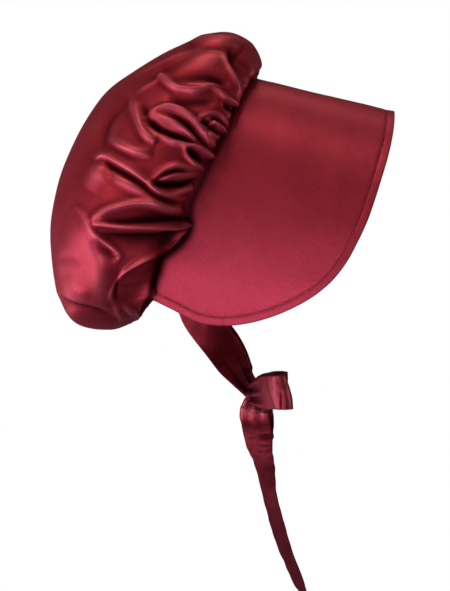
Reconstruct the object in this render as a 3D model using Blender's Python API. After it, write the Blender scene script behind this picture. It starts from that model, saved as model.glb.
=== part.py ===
"""Satin bonnet with a stiff curved brim, a gathered puffed crown and ribbon ties in a bow.

Metres, +Z up. The face opening looks along -Y, the wearer's right is -X and X = 0 is the middle plane.
The origin is on the middle plane at the underside of the brim's back edge, where it rests on the head.
Sizes in the tables are millimetres, and a side-view place is (back, up) from the origin.
"""

import math
from collections import namedtuple

import bmesh
import bpy
from mathutils import Vector

MM = 0.001
GAP = 0.35 * MM

# Brim: a stiff panel, straight along its length and bent round the head, widest BRIM_ABOVE under its top line
BRIM_FALL = math.radians(13.6)
BRIM_HALF_WIDTH = 82 * MM
BRIM_FLARE = 0.10
BRIM_ABOVE = 105 * MM
BRIM_BELOW = 150 * MM
BRIM_WALL = 2.6 * MM
BRIM_ROWS = 29
BRIM_COLUMNS = 7

# Crown: one bag of thin satin, gathered to the brim and round the nape
CROWN_WALL = 1.3 * MM
CROWN_SLACK = 0.2 * MM
CROWN_OVERLAP = (3.5 * MM, 2 * MM)
CORNER_ANGLE = math.radians(138)
HOOP_LOW_SPREAD = 0.25
CROWN_COLUMNS = 84
CROWN_RINGS = 23
GATHERS = 28
GATHER_HEIGHT = 1.6 * MM
GATHER_REACH = 1.1

# Satin ribbon of the ties and the bow
RIBBON_WIDTH = 25 * MM
RIBBON_WALL = 1.2 * MM
RIBBON_STEPS = 24
TIE_SLACK = 0.6 * MM
KNOT_CENTRE = Vector((0, -5, -235)) * MM
KNOT_SIZE = Vector((18, 15, 15)) * MM
KNOT_ROUND = 5 * MM
TAIL_APART = 3.2 * MM
TAIL_SPLAY = 5 * MM

SATIN = (0.30, 0.012, 0.040, 1.0)
SATIN_BRIM = (0.26, 0.012, 0.032, 1.0)

# Half of the brim's outer edge, from the middle of the front round to the lower back corner:
# forward along the top line, and down square to it
EdgePoint = namedtuple("EdgePoint", "forward down")
BRIM_EDGE = [
    EdgePoint(111, 0),
    EdgePoint(113.8, 24),
    EdgePoint(112.5, 56),
    EdgePoint(109.5, 88),
    EdgePoint(103, 117),
    EdgePoint(89, 144),
    EdgePoint(64, 167),
    EdgePoint(36, 182),
    EdgePoint(10, 187),
    EdgePoint(-14, 182),
    EdgePoint(-30, 178.5),
]
# Half of the brim's back edge, under the crown
BRIM_SEAM = [
    EdgePoint(-4, 0),
    EdgePoint(-8, 24),
    EdgePoint(-13, 46),
    EdgePoint(-18, 68),
    EdgePoint(-23, 88),
    EdgePoint(-27, 108),
    EdgePoint(-30, 125),
    EdgePoint(-33, 141),
    EdgePoint(-35, 155),
    EdgePoint(-36, 166),
    EdgePoint(-36.5, 174.5),
]

# Crown sections, from the sewn edge to the back. Each is a bent hoop, given by the side-view places of
# its top, its side and its low point, and by its half width
Hoop = namedtuple("Hoop", "name top side low half_width")
CROWN_HOOPS = [
    Hoop("roll", (-8, 12), (43, -86), (98, -185), 89),
    Hoop("shoulder", (0, 29), (56, -82), (117, -187), 95),
    Hoop("crest", (21, 36), (75, -79), (134, -180), 97),
    Hoop("upper back", (53, 26), (97, -76), (144, -160), 92),
    Hoop("back", (85, 8), (118, -73), (148, -135), 76),
    Hoop("inner back", (113, -15), (135, -69), (148, -106), 46),
]
CROWN_BACK = (138, -62)
NAPE = (95, -175)

# Folds of the crown, on the wearer's right. Each runs through three side-view places, with its width on
# its left and on its right as it runs. A positive height is a rounded ridge and a negative one a hollow
Fold = namedtuple("Fold", "name start middle end left right height")
CROWN_FOLDS = [
    Fold("top dimple", (-6, 6), (5, 15), (17, 20), 8, 8, -4.0),
    Fold("top lens", (9, -2), (30, 2), (52, 4), 8, 8, -3.5),
    Fold("top ridge", (65, 0), (45, -8), (25, -7), 8, 8, 2.5),
    Fold("upper puff", (77, -29), (57, -18), (28, -46), 9, 8, 4.0),
    Fold("middle hollow", (70, -37), (59, -40), (44, -42), 7, 7, -4.0),
    Fold("middle ridge", (72, -46), (49, -47), (25, -55), 7, 8, 3.0),
    Fold("shoulder fold", (122, -70), (92, -62), (50, -88), 10, 8, 4.5),
    Fold("lens hollow", (74, -64), (57, -73), (41, -75), 7, 8, -4.5),
    Fold("second fold", (119, -82), (94, -77), (68, -89), 7, 8, 2.5),
    Fold("lower lens top", (117, -109), (90, -93), (57, -96), 9, 9, 4.0),
    Fold("lower hollow", (114, -116), (82, -118), (48, -112), 9, 10, -6.0),
    Fold("lip", (47, -111), (71, -129), (104, -158), 9, 10, 5.0),
    Fold("left fold", (136, -90), (117, -115), (96, -134), 10, 8, 4.0),
    Fold("left hollow", (122, -94), (104, -111), (86, -128), 8, 8, -3.0),
    Fold("bottom tuck", (145, -160), (125, -168), (105, -174), 7, 7, -4.0),
]
LEFT_SHIFT = (9, -7)
LEFT_SHARE = 0.9
MIDDLE_BLEND = 24 * MM

# Centre line of the hanging ends, from the knot down: how far back and up, and how far the ribbon has
# turned from facing sideways towards facing forward
TailPoint = namedtuple("TailPoint", "back up turn width")
TAIL = [
    TailPoint(-5, -242.85, 0, 15),
    TailPoint(-5.5, -250, 0, 19),
    TailPoint(-7, -262, 6, 24),
    TailPoint(-9, -284, 28, 25),
    TailPoint(-14, -312, 54, 25),
    TailPoint(-22.5, -343, 68, 25),
    TailPoint(-32.5, -372, 76, 25),
    TailPoint(-41, -395, 80, 25),
]
# Centre line of one bow loop, out along its front strand and back along its rear one
LoopPoint = namedtuple("LoopPoint", "side back up width")
LOOP = [
    LoopPoint(9.35, -8, -235, 13),
    LoopPoint(16, -10.5, -235, 18),
    LoopPoint(34, -22, -233.5, 25),
    LoopPoint(56, -29, -232.5, 25),
    LoopPoint(69, -28.5, -232, 25),
    LoopPoint(72.5, -24, -232, 25),
    LoopPoint(68, -19, -232, 25),
    LoopPoint(54, -15.5, -232.5, 25),
    LoopPoint(34, -10, -233.5, 25),
    LoopPoint(16, -3.5, -235, 18),
    LoopPoint(9.35, -2, -235, 13),
]
LOOP_LEAN = 0.2
# Centre line of one tie below the brim
TiePoint = namedtuple("TiePoint", "side back up width")
TIE = [
    TiePoint(57, 21, -197.5, 25),
    TiePoint(41, 13.5, -209, 24),
    TiePoint(24, 8, -218, 20),
    TiePoint(10, 5, -224, 16),
    TiePoint(4, 1.35, -228.65, 14),
]
TIE_ON_BRIM = [EdgePoint(-6, 166), EdgePoint(1, 176), EdgePoint(8, 185.5)]


def smooth_step(value):
    value = min(max(value, 0.0), 1.0)
    return value * value * (3 - 2 * value)


def hermite(before, a, b, after, f):
    """A cubic from a to b whose slopes follow the points before and after them."""
    slope_a = (b - before) / 2
    slope_b = (after - a) / 2
    f2 = f * f
    f3 = f2 * f
    start = a * (2 * f3 - 3 * f2 + 1) + slope_a * (f3 - 2 * f2 + f)
    return start + b * (3 * f2 - 2 * f3) + slope_b * (f3 - f2)


def along(points, t, first=None):
    """The place at t, from 0 to 1, on a smooth curve through points. first stands before them."""
    last = len(points) - 1
    at = min(max(t, 0.0), 1.0) * last
    k = min(int(at), last - 1)
    before = points[k - 1] if k > 0 else first or 2 * points[0] - points[1]
    after = points[k + 2] if k + 2 <= last else 2 * points[last] - points[last - 1]
    return hermite(before, points[k], points[k + 1], after, at - k)


def turn_at(down):
    """The angle round the brim's section at this distance below its top line."""
    if down <= BRIM_ABOVE:
        return math.acos(1 - down / BRIM_ABOVE)
    return math.acos((BRIM_ABOVE - down) / BRIM_BELOW)


def brim_surface(forward, turn):
    """A point of the brim's outer face. A positive turn is on the wearer's right."""
    half_width = BRIM_HALF_WIDTH + BRIM_FLARE * forward
    lower = math.cos(turn) < 0
    down = BRIM_ABOVE - (BRIM_BELOW if lower else BRIM_ABOVE) * math.cos(turn)
    back = down * math.sin(BRIM_FALL) - forward * math.cos(BRIM_FALL)
    up = BRIM_WALL - down * math.cos(BRIM_FALL) - forward * math.sin(BRIM_FALL)
    return Vector((-half_width * math.sin(turn), back, up))


def brim_outward(forward, turn):
    step = 0.5 * MM
    ahead = brim_surface(forward + step, turn) - brim_surface(forward - step, turn)
    round_it = brim_surface(forward, turn + 0.005) - brim_surface(forward, turn - 0.005)
    return round_it.cross(ahead).normalized()


def brim_place(forward, turn, depth=0.0):
    """A point this far under the brim's outer face."""
    return brim_surface(forward, turn) - brim_outward(forward, turn) * depth


def brim_line(edge_points, t):
    """(forward, turn) at t along half of one of the brim's edges."""
    places = [Vector((p.forward * MM, turn_at(p.down * MM))) for p in edge_points]
    mirrored = Vector((places[1].x, -places[1].y))
    return along(places, t, mirrored)


def seam_at_turn(turn):
    """How far forward the brim's back edge is at this turn."""
    low, high = 0.0, 1.0
    for _ in range(20):
        middle = (low + high) / 2
        if brim_line(BRIM_SEAM, middle).y < turn:
            low = middle
        else:
            high = middle
    return brim_line(BRIM_SEAM, low).x


def sewn_edge(angle):
    """(place, outward) of the crown's edge: on the brim down to its corners, then round the nape."""
    side = 1 if angle >= 0 else -1
    corner_turn = turn_at(BRIM_SEAM[-1].down * MM)
    on_brim = corner_turn * min(abs(angle) / CORNER_ANGLE, 1.0)
    overlap = CROWN_OVERLAP[0] + (CROWN_OVERLAP[1] - CROWN_OVERLAP[0]) * smooth_step(on_brim / corner_turn)
    forward = seam_at_turn(on_brim) + overlap
    place = brim_place(forward, side * on_brim, -GAP - CROWN_SLACK)
    outward = brim_outward(forward, side * on_brim)
    if abs(angle) <= CORNER_ANGLE:
        return place, outward
    share = (abs(angle) - CORNER_ANGLE) / (math.pi - CORNER_ANGLE)
    swing = share * math.pi / 2
    back, up = NAPE[0] * MM, NAPE[1] * MM
    below = Vector((0, 0.25, -0.97))
    return (
        Vector((
            place.x * math.cos(swing),
            place.y + (back - place.y) * math.sin(swing),
            place.z + (up - place.z) * (1 - math.cos(swing)),
        )),
        outward.lerp(below, smooth_step(share)).normalized(),
    )


def hoop_place(number, angle):
    """A point of one crown section. Number 0 is the sewn edge, and the last is the middle of the back."""
    count = len(CROWN_HOOPS)
    if number == 0:
        return sewn_edge(angle)[0]
    if number == count + 1:
        return Vector((0, CROWN_BACK[0], CROWN_BACK[1])) * MM
    if number > count + 1:
        return hoop_place(2 * (count + 1) - number, angle - math.pi)
    hoop = CROWN_HOOPS[number - 1]
    top, side, low = (Vector(p) * MM for p in (hoop.top, hoop.side, hoop.low))
    bend = 2 * side - (top + low) / 2
    t = (1 - math.cos(angle)) / 2
    place = top * (1 - t) ** 2 + bend * 2 * t * (1 - t) + low * t * t
    spread = 1 + HOOP_LOW_SPREAD * t * t
    return Vector((-hoop.half_width * MM * spread * math.sin(angle), place.x, place.y))


def smooth_crown(angle, reach):
    """A point of the crown without its folds, at an angle from the top and a reach counted in sections."""
    last = len(CROWN_HOOPS) + 1
    k = min(int(reach), last - 1)
    a, b, after = (hoop_place(k + i, angle) for i in range(3))
    if k > 0:
        before = hoop_place(k - 1, angle)
    else:
        before = b - sewn_edge(angle)[1] * 30 * MM
    return hermite(before, a, b, after, reach - k)


def fold_height(fold, back, up):
    """How far one fold raises the crown at a side-view place in millimetres."""
    nearest = None
    steps = 8
    points = []
    for i in range(steps + 1):
        t = i / steps
        bend = 2 * Vector(fold.middle) - (Vector(fold.start) + Vector(fold.end)) / 2
        points.append(Vector(fold.start) * (1 - t) ** 2 + bend * 2 * t * (1 - t) + Vector(fold.end) * t * t)
    place = Vector((back, up))
    for i in range(steps):
        run = points[i + 1] - points[i]
        f = min(max((place - points[i]).dot(run) / run.length_squared, 0.0), 1.0)
        off = place - (points[i] + run * f)
        if nearest is None or off.length < nearest[0]:
            nearest = (off.length, run.x * off.y - run.y * off.x, (i + f) / steps)
    distance, side, t = nearest
    width = fold.left if side > 0 else fold.right
    ends = smooth_step(min(t, 1 - t) * 4 + 0.35)
    if fold.height < 0:
        return fold.height * ends * math.exp(-1.2 * distance / width)
    return fold.height * ends * math.exp(-((distance / width) ** 2))


def folds_at(place):
    """The height of all folds over a place on the smooth crown, blended over the middle plane."""
    back, up = place.y / MM, place.z / MM
    right = sum(fold_height(fold, back, up) for fold in CROWN_FOLDS)
    left = sum(fold_height(fold, back + LEFT_SHIFT[0], up + LEFT_SHIFT[1]) for fold in CROWN_FOLDS)
    share = smooth_step(0.5 - place.x / (2 * MIDDLE_BLEND))
    return (right * share + left * LEFT_SHARE * (1 - share)) * MM


def gather_height(angle, reach):
    """Small even gathers that start at the sewn edge and die out over the first section."""
    wave = math.cos(GATHERS * angle + 0.8 * math.sin(3 * angle))
    return GATHER_HEIGHT * wave * smooth_step(reach * 6) * math.exp(-reach / GATHER_REACH)


def crown_place(angle, reach):
    place = smooth_crown(angle, reach)
    step = 0.02
    round_it = smooth_crown(angle + step, reach) - smooth_crown(angle - step, reach)
    inward = smooth_crown(angle, reach + step) - smooth_crown(angle, max(reach - step, 0.0))
    outward = inward.cross(round_it).normalized()
    rise = smooth_step(reach * 1.5)
    return place + outward * (folds_at(place) * rise + gather_height(angle, reach))


def link(name, mesh, colour, smooth=True):
    """A new object of this mesh, with its own satin material."""
    obj = bpy.data.objects.new(name, mesh)
    bpy.context.collection.objects.link(obj)
    material = bpy.data.materials.new(name + "_satin")
    material.use_nodes = True
    shader = material.node_tree.nodes["Principled BSDF"]
    shader.inputs["Base Color"].default_value = colour
    shader.inputs["Roughness"].default_value = 0.35
    shader.inputs["Metallic"].default_value = 0.0
    mesh.materials.append(material)
    if smooth:
        mesh.shade_smooth()
    return obj


def thicken(obj, wall):
    """Makes a solid of a sheet, with the given outer face."""
    solid = obj.modifiers.new("Wall", "SOLIDIFY")
    solid.thickness = wall
    solid.offset = -1
    solid.use_even_offset = False


def sheet_mesh(name, rows):
    """A mesh of rows of points, each row joined to the next."""
    bm = bmesh.new()
    grid = [[bm.verts.new(point) for point in row] for row in rows]
    for upper, lower in zip(grid, grid[1:]):
        for i in range(len(upper) - 1):
            bm.faces.new((upper[i], lower[i], lower[i + 1], upper[i + 1]))
    mesh = bpy.data.meshes.new(name)
    bm.to_mesh(mesh)
    bm.free()
    return mesh


def make_brim():
    rows = []
    for i in range(-BRIM_ROWS, BRIM_ROWS + 1):
        t = abs(i) / BRIM_ROWS
        side = 1 if i >= 0 else -1
        edge = brim_line(BRIM_EDGE, t)
        seam = brim_line(BRIM_SEAM, t)
        row = []
        for j in range(BRIM_COLUMNS + 1):
            at = seam.lerp(edge, j / BRIM_COLUMNS)
            row.append(brim_surface(at.x, side * at.y))
        rows.append(row)
    brim = link("brim", sheet_mesh("brim", rows), SATIN_BRIM)
    thicken(brim, BRIM_WALL)
    return brim


def make_crown():
    last = len(CROWN_HOOPS) + 1
    bm = bmesh.new()
    rings = []
    for j in range(CROWN_RINGS):
        reach = last * j / CROWN_RINGS
        ring = []
        for i in range(CROWN_COLUMNS):
            angle = 2 * math.pi * i / CROWN_COLUMNS - math.pi
            ring.append(bm.verts.new(crown_place(angle, reach)))
        rings.append(ring)
    back = bm.verts.new(hoop_place(last, 0))
    for outer, inner in zip(rings, rings[1:]):
        for i in range(CROWN_COLUMNS):
            n = (i + 1) % CROWN_COLUMNS
            bm.faces.new((outer[i], inner[i], inner[n], outer[n]))
    for i in range(CROWN_COLUMNS):
        bm.faces.new((rings[-1][i], back, rings[-1][(i + 1) % CROWN_COLUMNS]))
    mesh = bpy.data.meshes.new("crown")
    bm.to_mesh(mesh)
    bm.free()
    crown = link("crown", mesh, SATIN)
    thicken(crown, CROWN_WALL)
    return crown


def make_ribbon(name, stations):
    """A flat ribbon through stations of (centre, across, width)."""
    rings = []
    for i, (centre, across, width) in enumerate(stations):
        before = stations[max(i - 1, 0)][0]
        after = stations[min(i + 1, len(stations) - 1)][0]
        run = (after - before).normalized()
        across = (across - run * across.dot(run)).normalized()
        face = run.cross(across)
        half = across * width / 2
        rise = face * RIBBON_WALL / 2
        rings.append([
            centre - half - rise,
            centre - rise,
            centre + half - rise,
            centre + half + rise,
            centre + rise,
            centre - half + rise,
        ])
    bm = bmesh.new()
    loops = [[bm.verts.new(point) for point in ring] for ring in rings]
    for a, b in zip(loops, loops[1:]):
        for i in range(6):
            n = (i + 1) % 6
            bm.faces.new((a[i], a[n], b[n], b[i]))
    bm.faces.new(list(reversed(loops[0])))
    bm.faces.new(loops[-1])
    mesh = bpy.data.meshes.new(name)
    bm.to_mesh(mesh)
    bm.free()
    ribbon = link(name, mesh, SATIN_BRIM, smooth=False)
    return ribbon


def make_tie(name, side):
    """One tie, from its stitched end inside the brim to the top of the knot. side is 1 on the right."""
    stations = []
    inside = BRIM_WALL + GAP + TIE_SLACK + RIBBON_WALL / 2
    for point in TIE_ON_BRIM:
        turn = turn_at(point.down * MM)
        half = RIBBON_WIDTH / 2 * math.sqrt(0.5)
        centre = brim_place(point.forward * MM, side * turn, inside)
        front = brim_place(point.forward * MM + half, side * turn_at(point.down * MM - half), inside)
        stations.append((centre, front - centre, RIBBON_WIDTH))
    points = [Vector((-side * p.side, p.back, p.up)) * MM for p in TIE]
    widths = [p.width * MM for p in TIE]
    centres = [s[0] for s in stations] + points
    widths = [RIBBON_WIDTH] * 3 + widths
    ways = [s[1].normalized() for s in stations] + [Vector((0, -0.8, 0.6))] * len(points)
    smoothed = []
    for i in range(RIBBON_STEPS + 1):
        t = i / RIBBON_STEPS
        width = along([Vector((w, 0)) for w in widths], t).x
        smoothed.append((along(centres, t), along(ways, t), width))
    end = smoothed[-1][0]
    smoothed[-2] = (end + Vector((0, 1, 1)) * MM, smoothed[-1][1], smoothed[-2][2])
    return make_ribbon(name, smoothed)


def make_loop(name, side):
    centres = [Vector((-side * p.side, p.back, p.up)) * MM for p in LOOP]
    widths = [Vector((p.width * MM, 0)) for p in LOOP]
    across = Vector((0, -LOOP_LEAN, -1)).normalized()
    stations = []
    for i in range(RIBBON_STEPS + 1):
        t = i / RIBBON_STEPS
        stations.append((along(centres, t), across, along(widths, t).x))
    for near, end in ((1, 0), (-2, -1)):
        flat = stations[end][0].copy()
        flat.x = stations[near][0].x
        stations[near] = (flat, across, stations[near][2])
    return make_ribbon(name, stations)


def make_tail(name, side):
    stations = []
    for i in range(RIBBON_STEPS + 1):
        t = i / RIBBON_STEPS
        row = along([Vector((p.back, p.up, p.turn, p.width)) for p in TAIL], t)
        turn = math.radians(row.z)
        across = Vector((-math.sin(turn), -math.cos(turn), 0))
        face = Vector((-math.cos(turn), math.sin(turn), 0))
        drop = smooth_step(t)
        centre = Vector((0, row.x, row.y)) * MM
        centre += side * face * (TAIL_APART + 2 * MM * drop) + side * across * TAIL_SPLAY * drop
        stations.append((centre, across, row.w * MM))
    top = stations[0][0]
    stations[1] = (Vector((top.x, top.y, stations[1][0].z)), stations[0][1], stations[1][2])
    return make_ribbon(name, stations)


def make_knot():
    bm = bmesh.new()
    bmesh.ops.create_cube(bm, size=1)
    bmesh.ops.scale(bm, vec=KNOT_SIZE, verts=bm.verts[:])
    bmesh.ops.bevel(bm, geom=bm.edges[:], offset=KNOT_ROUND, segments=4, profile=0.5, affect="EDGES")
    bmesh.ops.translate(bm, vec=KNOT_CENTRE, verts=bm.verts[:])
    mesh = bpy.data.meshes.new("bow_knot")
    bm.to_mesh(mesh)
    bm.free()
    return link("bow_knot", mesh, SATIN_BRIM)


def main():
    for obj in list(bpy.data.objects):
        bpy.data.objects.remove(obj)
    head_seat = bpy.data.objects.new("head_seat", None)
    bpy.context.collection.objects.link(head_seat)
    pieces = [make_brim(), make_crown(), make_knot()]
    for name, side in (("right", 1), ("left", -1)):
        pieces.append(make_tie("tie_" + name, side))
        pieces.append(make_loop("bow_loop_" + name, side))
        pieces.append(make_tail("tail_" + name, side))
    for piece in pieces:
        piece.parent = head_seat


if __name__ == "__main__":
    main()
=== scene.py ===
"""Dresses the satin bonnet: a stiff brim, a gathered crown, ribbon ties, a bow and its hanging ends.

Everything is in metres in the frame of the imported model: -Y out of the front opening, +Z up and -X to the
right. Tables are in millimetres where they don't say otherwise. The crown's folds are placed as they are
seen from the right, and the left half repeats them.
"""

import math
from collections import namedtuple

import bmesh
import bpy
import numpy as np
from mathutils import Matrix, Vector


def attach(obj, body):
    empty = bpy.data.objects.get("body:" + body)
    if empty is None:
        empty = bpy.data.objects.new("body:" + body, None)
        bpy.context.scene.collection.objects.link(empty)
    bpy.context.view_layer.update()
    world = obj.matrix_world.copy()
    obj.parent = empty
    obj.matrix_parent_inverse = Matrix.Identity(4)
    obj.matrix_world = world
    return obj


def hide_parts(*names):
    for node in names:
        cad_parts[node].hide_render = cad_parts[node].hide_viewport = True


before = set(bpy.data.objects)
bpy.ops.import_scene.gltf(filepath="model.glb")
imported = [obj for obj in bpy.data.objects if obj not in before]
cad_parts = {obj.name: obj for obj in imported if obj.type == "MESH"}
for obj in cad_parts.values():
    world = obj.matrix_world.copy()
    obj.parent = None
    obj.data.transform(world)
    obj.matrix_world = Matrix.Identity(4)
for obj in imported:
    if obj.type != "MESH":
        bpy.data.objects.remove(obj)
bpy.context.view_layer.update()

bl_info = {
    "name": "Satin bonnet",
    "version": (1, 0, 0),
    "blender": (4, 5, 0),
    "location": "3D View > Sidebar > Bonnet",
    "description": "Builds a satin bonnet with a stiff brim, a gathered crown and a ribbon bow",
    "category": "Add Mesh",
}

MM = 0.001
SIDES = (("right", 1), ("left", -1))


def rows_of(kind, rows):
    """A table's rows, as tuples with named fields."""
    return [kind(*row) for row in rows]


# Brim, as the solid under it
BRIM_FALL = math.radians(13.6)
BRIM_HALF_WIDTH = 82 * MM
BRIM_FLARE = 0.10
BRIM_ABOVE = 105 * MM
BRIM_BELOW = 150 * MM
BRIM_TOP = 2.6 * MM
MOST_TURN = math.radians(135)

EdgePoint = namedtuple("EdgePoint", "forward down")
BRIM_EDGE = rows_of(EdgePoint, [
    (111, 0), (113.8, 24), (112.5, 56), (109.5, 88), (103, 117), (89, 144), (64, 167), (36, 182), (10, 187),
    (-14, 182), (-30, 178.5),
])
BRIM_SEAM = rows_of(EdgePoint, [
    (-4, 0), (-8, 24), (-13, 46), (-18, 68), (-23, 88), (-27, 108), (-30, 125), (-33, 141), (-35, 155),
    (-36, 166), (-36.5, 174.5),
])

# Crown, as the solid under it: bent hoops from the sewn edge to the middle of the back
CORNER_ANGLE = math.radians(138)
HOOP_LOW_SPREAD = 0.25
CROWN_OVERLAP = (3.5 * MM, 2 * MM)
SEAM_LIFT = 0.55 * MM
SEAM_LEAD = 30 * MM
Hoop = namedtuple("Hoop", "name top side low half_width")
CROWN_HOOPS = rows_of(Hoop, [
    ("roll", (-8, 12), (43, -86), (98, -185), 89),
    ("shoulder", (0, 29), (56, -82), (117, -187), 95),
    ("crest", (21, 36), (75, -79), (134, -180), 97),
    ("upper back", (53, 26), (97, -76), (144, -160), 92),
    ("back", (85, 8), (118, -73), (148, -135), 76),
    ("inner back", (113, -15), (135, -69), (148, -106), 46),
])
CROWN_BACK = (138, -62)
NAPE = (95, -175)

# Folds, drawn on a view of the right side: squares of 0.75 mm, counted to the front and down, with the
# brim's back edge near (250, 80). A line runs mostly towards the front, through places with a height in
# millimetres, which is negative in a crease. below and above are its widths in squares on its two sides,
# and power is its section: near 1 is a sharp edge, 2 is round and more has a flat middle
Fold = namedtuple("Fold", "name below above power line")
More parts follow.
